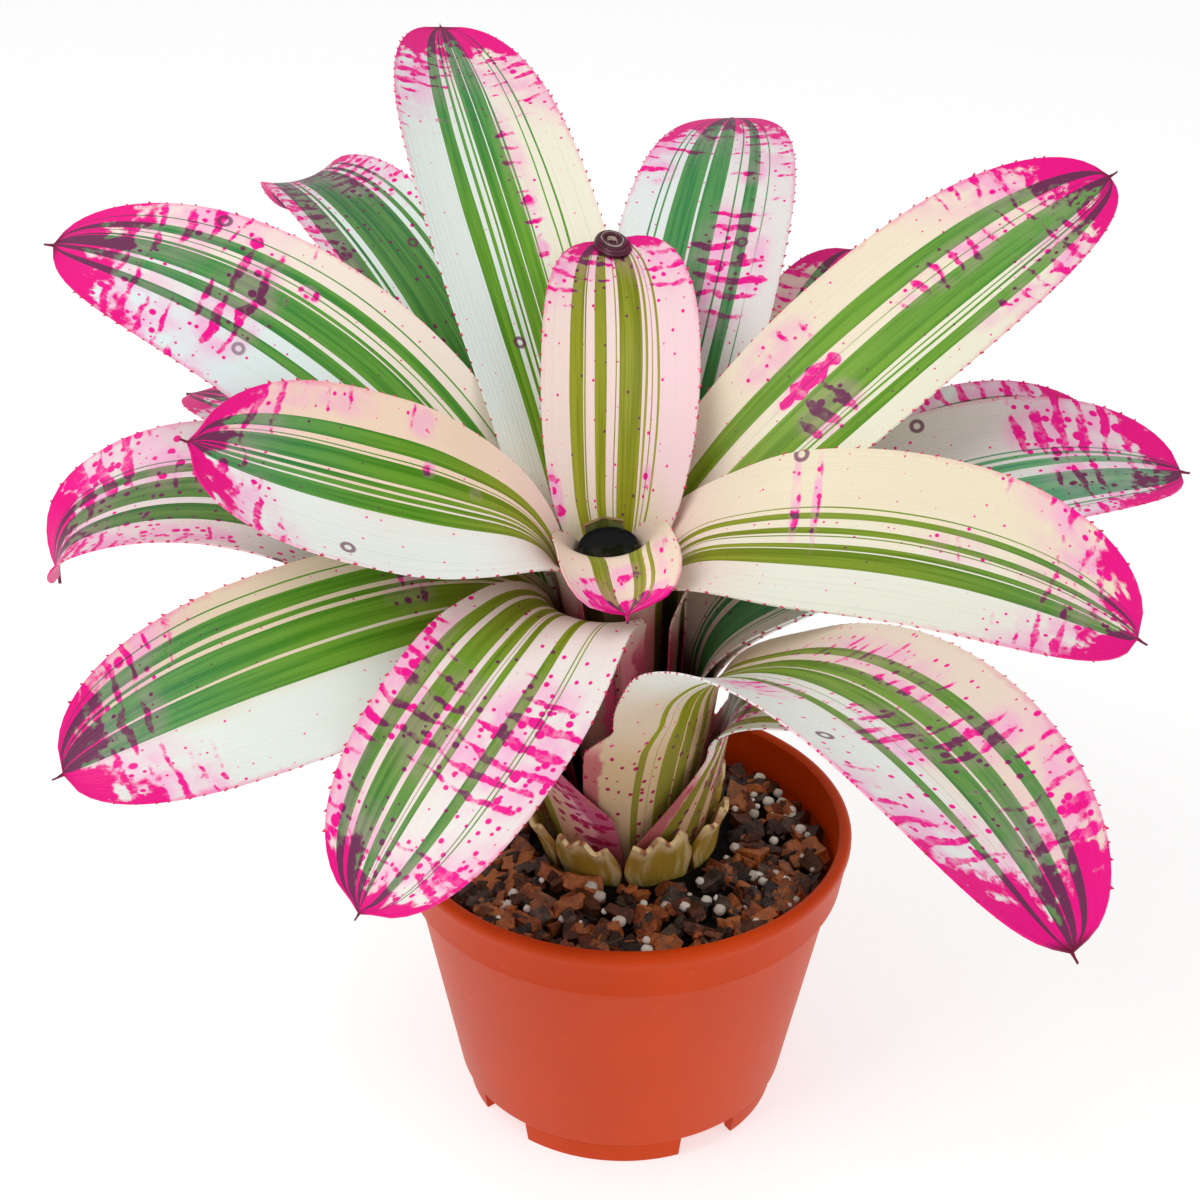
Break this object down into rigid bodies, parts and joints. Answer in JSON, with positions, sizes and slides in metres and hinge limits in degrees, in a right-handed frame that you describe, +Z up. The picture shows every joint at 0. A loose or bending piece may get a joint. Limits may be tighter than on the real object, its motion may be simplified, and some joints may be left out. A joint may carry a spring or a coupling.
{
  "type": "potted bromeliad",
  "caption": "Striped bromeliad rosette with spined arching leaves round a water-holding cup, growing in bark mix in a round plastic nursery pot.",
  "frame": {"origin": "on the pot's axis, at the height of the surface that the pot stands on, with the leaves reaching about equally far to all sides", "axes": "+Z up; -Z out of the foot of the pot; -Y towards the side that the plant leans to"},
  "size_m": [0.3379, 0.3865, 0.2937],
  "materials": {
    "pot": "satin",
    "mix": "matte",
    "stem": "matte",
    "water": "polished",
    "leaf": "satin",
    "stump": "satin"
  },
  "bodies": {
    "root": {"pot": "pot", "potting_mix": "mix", "stem": "stem", "tank_water": "water", "leaf_cup_back": "leaf", "leaf_cup_front": "leaf", "leaf_upright": "leaf", "leaf_left_upper": "leaf", "leaf_right_upper": "leaf", "leaf_back_left_tall": "leaf", "leaf_front_left": "leaf", "leaf_back_right_tall": "leaf", "leaf_left_lower": "leaf", "leaf_back": "leaf", "leaf_left_high": "leaf", "leaf_right_far": "leaf", "leaf_back_left_hooked": "leaf", "leaf_right_sliver": "leaf", "leaf_front_right": "leaf", "leaf_back_right_short": "leaf", "leaf_left_far": "leaf", "leaf_right_low": "leaf", "leaf_back_low": "leaf", "leaf_left_hidden": "leaf", "stump_front_left": "stump", "stump_front_right": "stump", "stump_right": "stump", "stump_left": "stump", "stump_back_left": "stump", "stump_back": "stump", "stump_back_right": "stump"}
  },
  "joints": []
}
